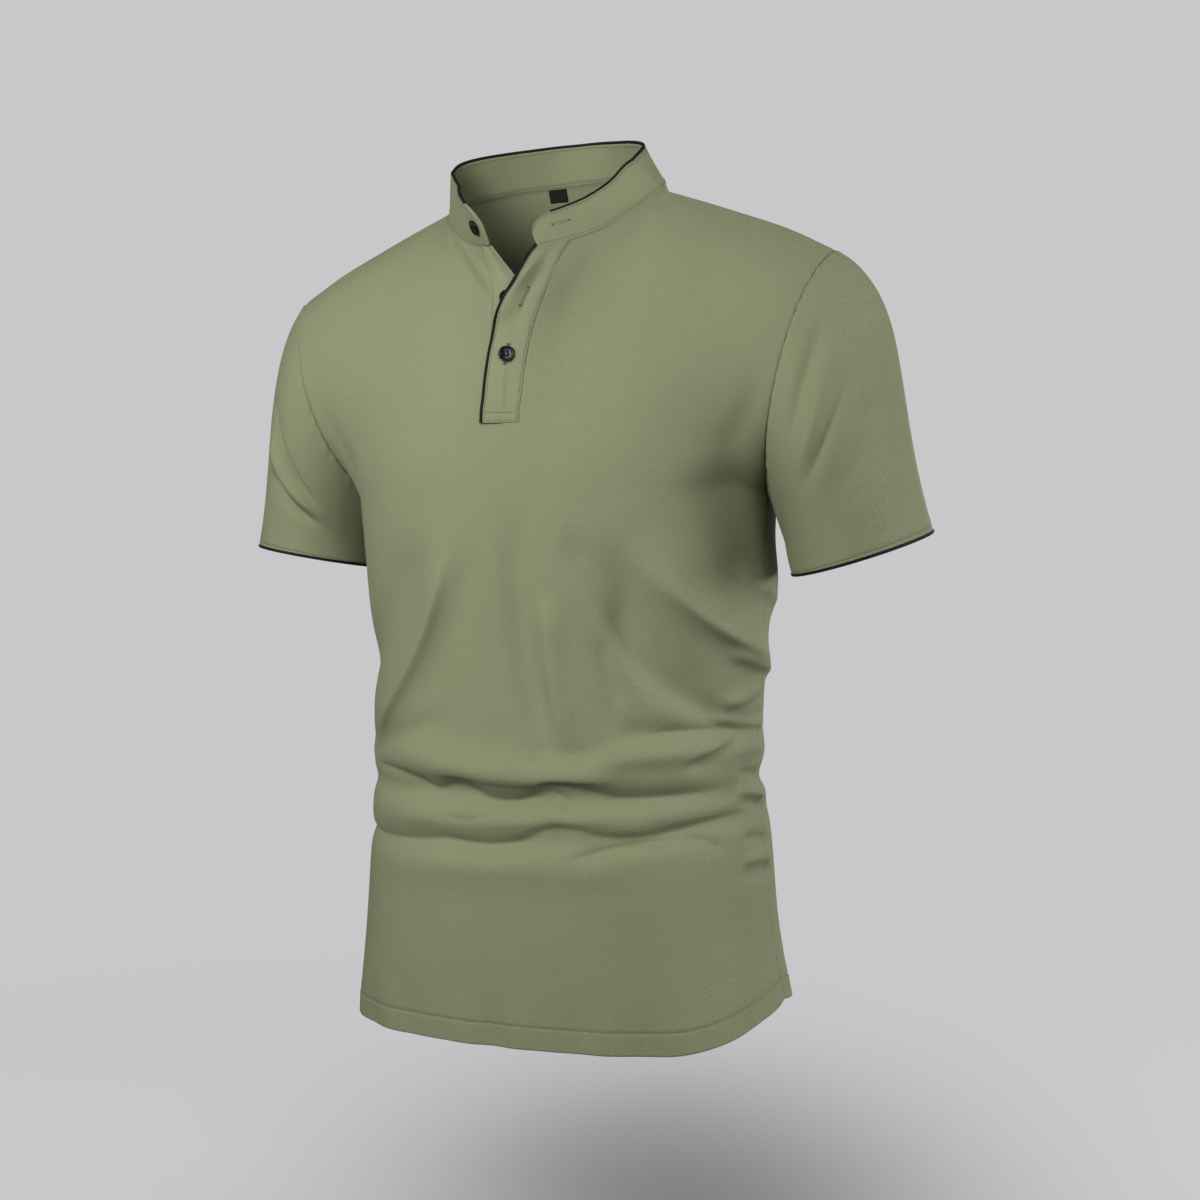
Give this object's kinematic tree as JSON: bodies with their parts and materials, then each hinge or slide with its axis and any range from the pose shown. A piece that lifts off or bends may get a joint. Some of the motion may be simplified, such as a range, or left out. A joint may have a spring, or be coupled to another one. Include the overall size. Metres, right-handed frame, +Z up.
{
  "type": "short-sleeved polo shirt with a band collar",
  "caption": "Hollow short-sleeved knit polo with a band collar, a half placket, dark piping and buttons, worn form with no wearer.",
  "frame": {"origin": "on the centre line of the neck, level with the tops of the shoulder seams at the neck, where the wearer's shoulders carry it", "axes": "+Z up, -Y towards the wearer's front, +X towards the wearer's left"},
  "size_m": [0.552, 0.2221, 0.6726],
  "materials": {
    "knit": "fine olive knit with a slight heather, matt with a faint sheen",
    "collar_knit": "the same knit, doubled and firm",
    "piping": "black cord piping, matt",
    "button": "black, semi-gloss",
    "label": "black woven satin, bare"
  },
  "bodies": {
    "root": {"front": "knit", "back": "knit", "sleeve_left": "knit", "sleeve_right": "knit", "collar": "collar_knit", "placket_upper": "knit", "placket_under": "knit", "piping_collar": "piping", "piping_placket": "piping", "piping_sleeve_left": "piping", "piping_sleeve_right": "piping", "button_collar": "button", "button_under": "button", "button_front": "button", "neck_label": "label"}
  },
  "joints": []
}
